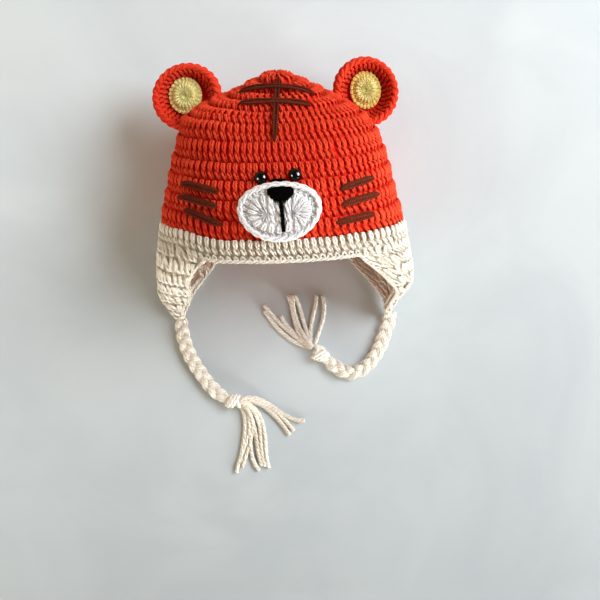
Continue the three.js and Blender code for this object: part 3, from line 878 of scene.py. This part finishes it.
muzzleEdge = {
    "at":    [0, 0.3, 0.38, 0.45, 0.5, 0.56, 0.62, 0.7, 1],
    "reach": [0, 0.62, 0.74, 0.88, 0.96, 0.985, 0.96, 0.7, 0],
    "lift":  [3.9, 4.2, 2.9, 3.5, 3.2, 2.2, 0.9, 0.6, 0.6],
}


def muzzleSheet(u, v):
    reach = np.interp(v, muzzleEdge["at"], muzzleEdge["reach"])
    return onMuzzle(muzzleLoop * u, reach, np.interp(v, muzzleEdge["at"], muzzleEdge["lift"]))


def muzzleRow(stitch, count, inner, outer, lift):
    def place(u, v, w):
        return onMuzzle(-muzzleLoop * u / count, inner + (outer - inner) * v, w + lift)
    return stitchRow(stitch, count, place, muzzle["lean"], tone=muzzle["tone"])


muzzleRows = [  # stitch, how many, from and to, lift over the patch
    (tallStitch, muzzleLoop, 0.7, 0.02, 0.3),
    (shortStitch, 28, 0.88, 0.68, -1.0),
]
muzzleRings = [  # place, lift over the patch, radius, throw, link, hand, sides, tone, depth of the painted shade
    (0.9, 1.0, 0.78, 0.62, 6, 1, 8, 0.7, 0.1),
    (0.965, 0.5, 0.78, 0.62, 6, -1, 8, 0.7, 0.1),
    (0.965, -1.7, 0.9, 0.7, 3.6, 1, 6, 0.6, 0),
]
parts = [sheetMesh(104, 24, muzzleSheet, tone=0.5)]
parts += [muzzleRow(*shape, muzzle["lift"] + lift) for *shape, lift in muzzleRows]
for reach, lift, radius, throw, link, hand, sides, tone, depth in muzzleRings:
    line = onMuzzle(np.linspace(0, muzzleLoop, 121), reach, muzzle["lift"] + lift)
    ring = rope(line, radius, throw, link, closed=True, hand=hand)
    parts.append(strandsMesh(ring, sides, closed=True, tone=tone, depth=depth))
joinPiece("muzzle_stitches", parts, "white", ["muzzle"], close=(0,))

# Nose and mouth in black yarn over the muzzle
nose = {
    "x": 0.4, "station": 75.1,
    "halfWidth": 7.3, "top": 3.9, "bottom": 6.1,
    "strands": 15, "radius": 0.75,
    "lift": 4.8, "rise": 1.3,
}
tuck = {"from": (-6.0, 82.2), "to": (3.8, 82.6), "rope": (0.7, 0.4, 2.4), "lift": 1.4}
mouth = {"from": (0.45, 71.4), "to": (1.3, 52.6), "rope": (0.95, 0.45, 2.4), "lift": 5.3}


def noseStrands():
    strands = []
    for share in np.linspace(-1, 1, nose["strands"]):
        full = np.sqrt(max(0, 1 - share * share * 0.94))
        up = nose["top"] * full**0.35
        down = nose["bottom"] * full**0.85
        s = np.linspace(-1, 1, 9)
        y = np.where(s > 0, s * up, s * down)
        x = nose["x"] + share * (nose["halfWidth"] - 0.4) * (1 - 0.05 * np.clip(-s, 0, 1))
        dome = np.sqrt(np.clip(1 - (0.92 * s) ** 2, 0, 1)) * np.sqrt(max(0.1, 1 - 0.8 * share * share))
        points = onFace(x, nose["station"] + y, nose["lift"] + nose["rise"] * dome)
        thick = nose["radius"] * np.array([0.3, 0.8, 1, 1, 1, 1, 1, 0.8, 0.3])
        strands.append(np.column_stack([points, thick]))
    return strands


def bowed(start, end, bow, s):  # x and station at a share s of the way
    x = start[0] + (end[0] - start[0]) * s
    return x, start[1] + (end[1] - start[1]) * s + bow * 4 * s * (1 - s)


# The yarn's end shows as a short line over the top of the rim
tuckLine = onFace(*bowed(tuck["from"], tuck["to"], 0.5, np.linspace(0, 1, 10)), tuck["lift"])
parts = [strandsMesh(noseStrands(), 8, tone=0.5), strandsMesh(rope(tuckLine, *tuck["rope"]), 6)]
joinPiece("nose_stitches", parts, "black", ["nose"])
mouthLine = onFace(*bowed(mouth["from"], mouth["to"], 0, np.linspace(0, 1, 24)), mouth["lift"])
mouthRope = rope(mouthLine, *mouth["rope"])
joinPiece("mouth_stitch", [strandsMesh(mouthRope, 8)], "black", ["mouth_line"])


# Safety eyes: a glossy dome on a thin flange

eye = {
    "places": {"left": (-10.8, 84.8), "right": (9.4, 85.7)},
    "profile": [(0, 1.4), (3.9, 1.4), (4.05, 1.7), (3.92, 2.0), (3.85, 2.7), (3.42, 3.9), (2.62, 4.8),
                (1.55, 5.35), (0, 5.6)],
    "segments": 48,
    "coat": 0.45,
    "coatRoughness": 0.05,
    "smear": (0.06, 0.16),  # roughness under the coat
}
gloss, glossTree, glossShader = addMaterial("eyePlastic", {
    "Base Color": (0.001, 0.001, 0.001, 1), "Specular IOR Level": 0,
    "Coat Weight": eye["coat"], "Coat Roughness": eye["coatRoughness"],
})
glossPlace = addNode(glossTree, "TexCoord", {}).outputs["Object"]
smear = addNode(glossTree, "TexNoise", {"Vector": glossPlace, "Scale": 420}).outputs["Fac"]
smearRange = {"Value": smear, "To Min": eye["smear"][0], "To Max": eye["smear"][1]}
smear = addNode(glossTree, "MapRange", smearRange).outputs["Result"]
glossTree.links.new(smear, glossShader.inputs["Roughness"])

for name, (x, station) in eye["places"].items():
    base = onFace(x, station, 0)
    normal = Vector(onFace(x, station, 1) - base)
    bm = bmesh.new()
    profile = smoothLine([(r, h, 0) for r, h in eye["profile"]], 26)
    edge = [bm.verts.new((r * mm, 0, h * mm)) for r, h, _ in profile]
    edges = [bm.edges.new(pair) for pair in zip(edge, edge[1:])]
    bmesh.ops.spin(bm, geom=edge + edges, cent=(0, 0, 0), axis=(0, 0, 1), angle=tau,
                   steps=eye["segments"], use_merge=True)
    bmesh.ops.remove_doubles(bm, verts=bm.verts, dist=0.01 * mm)
    bmesh.ops.recalc_face_normals(bm, faces=bm.faces)
    upright = Vector((0, 0, 1)).rotation_difference(normal).to_matrix()
    bmesh.ops.rotate(bm, verts=bm.verts, matrix=upright)
    bmesh.ops.translate(bm, verts=bm.verts, vec=Vector(base) * mm)
    finishPiece("eye_dome_" + name, bm, gloss, ["eye_" + name])
print("face done")


# Embroidered stripes: a few strands side by side that meet at both ends

stripeYarn = {"radius": 0.78, "foot": 1.6, "step": 0.3, "waver": 0.12}
cheek = (0.3, 4, 1.0, 2.8, 0)
stripes = {  # from, to, bow along Y, strands, spread, lift in the middle, waist
    "forehead_stripe_upper":  ((-24.3, 143.9), (23.7, 140.0), 2.6, 3, 1.75, 4.4, 0.5),
    "forehead_stripe_lower":  ((-23.6, 132.6), (20.6, 130.6), 0.6, 3, 1.75, 4.4, 0.45),
    "forehead_stripe_middle": ((1, 154.5), (-2, 106.4), 0, 3, 1.1, 3.6, 0),
    "cheek_stripe_left_1":    ((-61.4, 86.7), (-37.2, 78.0), *cheek),
    "cheek_stripe_left_2":    ((-63.8, 77.5), (-37.6, 68.8), *cheek),
    "cheek_stripe_left_3":    ((-59.8, 67.3), (-35.6, 58.0), *cheek),
    "cheek_stripe_right_1":   ((36.3, 76.6), (58.6, 85.0), *cheek),
    "cheek_stripe_right_2":   ((36.5, 67.2), (61.9, 75.0), *cheek),
    "cheek_stripe_right_3":   ((32.9, 56.4), (57.6, 62.2), *cheek),
}
for name, (start, end, bow, count, spread, lift, waist) in stripes.items():
    strands = []
    away = Vector((end[0] - start[0], end[1] - start[1])).normalized()
    for k in range(count):
        offset = (k - (count - 1) / 2) * spread
        s = np.linspace(0, 1, 30)
        full = np.sin(pi * s) ** 0.4
        tied = 1 - waist * np.sin(pi * s) ** 3
        gap = offset * np.clip(full * 1.15, 0, 1) * tied + stripeYarn["waver"] * np.sin(s * 9 + k * 2)
        x, station = bowed(start, end, bow, s)
        height = stripeYarn["foot"] + (lift - stripeYarn["foot"]) * np.sin(pi * s) ** 0.3
        height = height + stripeYarn["step"] * np.cos(k * pi)
        thick = stripeYarn["radius"] * np.clip(full * 1.5, 0.35, 1)
        points = onFace(x - away.y * gap, station + away.x * gap, height)
        strands.append(np.column_stack([points, thick]))
    joinPiece(name.replace("stripe", "strands"), [strandsMesh(strands, 8)], "brown", [name])
print("stripes done")


# Ties: three-strand plaits, each strand of three yarns

tie = {
    "period": 23, "swing": 2.7, "hump": 1.5,  # of the plait
    "yarn": 1.1, "spread": 1.3,  # radius of a yarn, and how far apart those of a strand lie
    "proud": 0.35,  # how much higher the middle yarn of a strand lies
    "opens": (-6, 5), "closes": 9, "tight": 0.75,  # along the plait, and how tight it ends
    "z": 4.3,
    "intoKnot": 0.6,  # share of the way from the route to the knot's middle
    "diameter": 10,
}
tieRoutes = {
    "left": [(-75.3, -0.3), (-75, -3.6), (-74.7, -7.2), (-74.2, -11), (-73.5, -15.1), (-72.4, -19.4),
             (-70.8, -24), (-69, -28.5), (-66.6, -32.8), (-63.9, -37.2), (-61.2, -41.4), (-58.4, -45.6),
             (-55.4, -49.4), (-52.1, -52.9), (-49.2, -55.4), (-47, -56.8)],
    "right": [(74, -0.3), (73, -3.4), (72.2, -6.8), (71, -10.6), (69.4, -14.8), (67.5, -19.4),
              (65.7, -23.8), (63.4, -28), (60.8, -32), (57.7, -35.9), (53.9, -39.4), (49.3, -41.9),
              (44.6, -42.9), (39.8, -42.2), (35.2, -39.8), (31.4, -37), (28.2, -34.3)],
}
knots = {"left": (-40.2, -59.7, -10), "right": (22.4, -29.6, 142)}  # x, station, yaw in degrees
knotShape = {
    "height": 5.3,
    "wraps": [(-2.9, 0.5, 3.3), (-0.9, 0.55, 4.0), (1.3, 0.5, 4.0), (3.3, -0.4, 3.2)],  # place, slant, size
    "yarn": 1.35,
    "flat": 0.92,
    "core": 3.4, "reach": (-6.5, 6), "sag": 0.4,  # radius, ends and place of the core
    "start": 3.4,  # where the loose strands leave it
}
# The right tassel is paler, as painted light where the brim shades it
tassel = {"yarn": 0.95, "throw": 0.66, "lay": 16, "tone": {"left": 0.45, "right": 0.85}}
tasselStrands = {  # length, heading at the start, middle and end, height at the knot
    "left": [(53.1, 33, -38, 11, 8), (48.8, 10, -36, -54, 5.5), (47.5, 4, -41, -59, 3),
             (58.9, -4, -82, -72, 6), (55.6, -11, -85, -64, 8), (52.1, -36, -82, -70, 3.5),
             (54, -27, -100, -105, 7), (56.3, -36, -106, -100, 4), (46, -57, -97, -96, 3),
             (54.5, -43, -90, -47, 2.2)],
    "right": [(46.3, 172, 138, 120, 3), (48.5, 152, 136, 124, 5), (34.1, 136, 139, 104, 7.5),
              (44.4, 159, 103, 112, 6.5), (43.1, 134, 108, 84, 8), (41.2, 120, 103, 117, 5),
              (39, 116, 76, 90, 4), (39.5, 73, 73, 110, 6), (19, 40, -60, -38, 7)],
}
tasselShift = {"left": (0, 0.6), "right": (-1.6, 3.2)}  # of the strands' start on the knot


def tiePath(side, count=60):
    route = [(x, station - wall["origin"], tie["z"]) for x, station in tieRoutes[side]]
    knot = Vector((knots[side][0], knots[side][1] - wall["origin"], tie["z"]))
    last = Vector(route[-1])
    route.append(tuple(last.lerp(knot, tie["intoKnot"])))
    return smoothLine(route, count)


def plait(path):
    count = 110
    middle = smoothLine(path, count)
    up = np.array([0, 0, 1.0])
    across = np.cross(unit(np.gradient(middle, axis=0)), up)
    walked = np.linspace(0, walkedAlong(middle)[-1], count)
    tight = tie["tight"] * blend(walked[-1] - tie["closes"], walked[-1], walked)
    room = (blend(*tie["opens"], walked) * (1 - tight))[:, None]
    strands = []
    for k in range(3):
        phase = (tau * (walked / tie["period"] + k / 3))[:, None]
        swing = tie["swing"] * np.sin(phase) * across
        centre = middle + room * (swing + tie["hump"] * np.sin(2 * phase) * up)
        beside = unit(np.cross(unit(np.gradient(centre, axis=0)), up))
        for j in (-1, 0, 1):
            points = centre + j * tie["spread"] * beside + (tie["proud"] if j == 0 else 0) * up
            points[:, 2] = np.maximum(points[:, 2], tie["yarn"] + wall["clear"])
            thick = np.full(count, tie["yarn"])
            thick[[0, -1]] = 0.3
            strands.append(np.column_stack([points, thick]))
    return strands


def knotStrands(x, station, yaw):  # slanting wraps round a core, lying on the table
    middle = np.array([x, station - wall["origin"], knotShape["height"]])
    ahead = np.array([cos(radians(yaw)), sin(radians(yaw)), 0])
    across = np.array([-ahead[1], ahead[0], 0])
    turn = np.linspace(0, tau, 28, endpoint=False)[:, None]
    wraps = []
    for place, slant, radius in knotShape["wraps"]:
        points = middle + ahead * (place + slant * radius * np.cos(turn))
        upward = np.array([0, 0, 1]) * np.sin(turn) * knotShape["flat"]
        points = points + radius * (across * np.cos(turn) + upward)
        wraps.append(np.column_stack([points, np.full(28, knotShape["yarn"])]))
    core = np.linspace(*knotShape["reach"], 9)[:, None]
    line = middle + ahead * core - np.array([0, 0, knotShape["sag"]])
    thick = knotShape["core"] * np.array([0.2, 0.7, 0.95, 1, 1, 1, 0.95, 0.8, 0.3])
    return wraps, [np.column_stack([line, thick])]


def looseStrand(x, station, length, first, middle, last, rise):
    t = (np.arange(40) + 0.5) / 40
    heading = first * (1 - t) * (1 - 2 * t) + middle * 4 * t * (1 - t) + last * t * (2 * t - 1)
    floor = tassel["yarn"] + tassel["throw"] + wall["clear"]
    line = np.zeros((41, 3))
    line[0] = (x, station - wall["origin"], rise)
    line[1:, 0] = x + np.cumsum(cosine(heading)) * length / 40
    line[1:, 1] = line[0, 1] + np.cumsum(sine(heading)) * length / 40
    fall = np.minimum((t + 0.5 / 40) * 2, 1)
    line[1:, 2] = rise + (floor - rise) * fall * fall * (3 - 2 * fall)
    return rope(line, tassel["yarn"], tassel["throw"], tassel["lay"] / 3, plies=3)


for name in sideNames.values():
    path = tiePath(name)
    x, station, yaw = knots[name]
    wraps, core = knotStrands(x, station, yaw)
    shiftX, shiftY = tasselShift[name]
    start = (x + knotShape["start"] * cos(radians(yaw)) + shiftX,
             station + knotShape["start"] * sin(radians(yaw)) + shiftY)
    loose = [strand for shape in tasselStrands[name] for strand in looseStrand(*start, *shape)]
    parts = [
        strandsMesh(wraps, 10, closed=True, tone=0.75),
        strandsMesh(core, 12),
        strandsMesh(loose, 6, tone=tassel["tone"][name]),
    ]
    tasselPiece = joinPiece("tassel_strands_" + name, parts, "cream", ["tassel_" + name])
    # depth paints the plait's lower yarns darker, as painted shade
    parts = [strandsMesh(plait(path), 8, tone=0.5, depth=0.14)]
    plaitPiece = joinPiece("plait_" + name, parts, "cream", ["tie_" + name])
print("ties and tassels done")


# Table, light and world

table = {
    "size": 4,  # metres
    "light": (0.5, 0.548, 0.582),
    "vein": (0.457, 0.503, 0.54),
    "near": 0.85,  # painted light: the far end is a little paler than the near one
    "far": 1.4,
}
bm = bmesh.new()
bmesh.ops.create_grid(bm, x_segments=1, y_segments=1, size=table["size"] / 2)
floor = addObject("table", meshOf("table", bm))
floorMaterial, floorTree, floorShader = addMaterial("table", {"Roughness": 0.7, "Specular IOR Level": 0.15})
floorPlace = addNode(floorTree, "TexCoord", {}).outputs["Object"]
marbling = {"Vector": floorPlace, "Scale": 7, "Detail": 6, "Distortion": 1.4}
marble = addNode(floorTree, "TexNoise", marbling).outputs["Fac"]
veins = addNode(floorTree, "ValToRGB", {"Fac": marble})
veins.color_ramp.elements[0].position = 0.36
veins.color_ramp.elements[0].color = (*table["vein"], 1)
veins.color_ramp.elements[1].position = 0.6
veins.color_ramp.elements[1].color = (*table["light"], 1)
floorSplit = addNode(floorTree, "SeparateXYZ", {0: floorPlace})
# Painted light: the table gets paler towards its far end
paintedFalloffRange = {"Value": floorSplit.outputs["Y"], "From Min": -0.28, "From Max": 0.12,
          "To Min": table["near"], "To Max": table["far"]}
paintedFalloff = addNode(floorTree, "MapRange", paintedFalloffRange).outputs["Result"]
colours = {"Factor": 1, "A": veins.outputs["Color"], "B": paintedFalloff}
paintedFalloffMix = addNode(floorTree, "Mix", colours, data_type="RGBA", blend_type="MULTIPLY")
floorTree.links.new(paintedFalloffMix.outputs["Result"], floorShader.inputs["Base Color"])
floor.data.materials.append(floorMaterial)

lamps = {  # place and target in metres, size in metres, power in watts, colour
    "window": ((2.26, 0.88, 2.2), (0, 0, 0.03), 2.2, 118, (0.91, 0.97, 1.01)),
    "glint":  ((1.05, 0.2, 0.85), (0, 0, 0.03), 0.85, 120, (1, 1, 1)),
    "spark":  ((-0.95, -0.25, 0.8), (0, 0, 0.03), 0.55, 36, (1, 1, 1)),
    "door":   ((-1.05, -0.5, 0.34), (0, 0, 0.03), 0.2, 1.6, (1, 0.9, 0.75)),
    "front":  ((-0.65, -1.15, 0.2), (0, 0, 0.03), 0.8, 5, (1, 0.96, 0.9)),
    "low":    ((0.9, -1.1, 0.26), (0, 0, 0.03), 0.5, 16, (0.96, 1, 1)),
}
for name, (place, target, size, power, colour) in lamps.items():
    data = bpy.data.lights.new(name, "AREA")
    data.shape = "DISK"
    data.size = size
    data.energy = power
    data.color = colour
    lamp = addObject(name, data)
    lamp.location = place
    lamp.rotation_euler = (Vector(target) - Vector(place)).to_track_quat("-Z", "Y").to_euler()
    lamp.visible_diffuse = name not in ("glint", "spark")  # those two only shine in the eyes

room = {"overhead": 0.25, "walls": 0.72, "colour": (1, 0.79, 0.52)}  # a dim ceiling over brighter walls
world = bpy.data.worlds.new("room")
bpy.context.scene.world = world
world.use_nodes = True
tree = world.node_tree
sky = tree.nodes["Background"]
sky.inputs["Color"].default_value = (*room["colour"], 1)
direction = addNode(tree, "TexCoord", {}).outputs["Generated"]
upward = addNode(tree, "SeparateXYZ", {0: direction}).outputs["Z"]
low = addNode(tree, "MapRange", {"Value": upward, "To Min": 1, "To Max": 0}).outputs["Result"]
squared = addNode(tree, "Math", {0: low, 1: 2}, operation="POWER").outputs[0]
brightness = {0: squared, 1: room["walls"], 2: room["overhead"]}
strength = addNode(tree, "Math", brightness, operation="MULTIPLY_ADD").outputs[0]
tree.links.new(strength, sky.inputs["Strength"])
bpy.context.scene.view_settings.view_transform = "Standard"
print("table, lamps and room done")
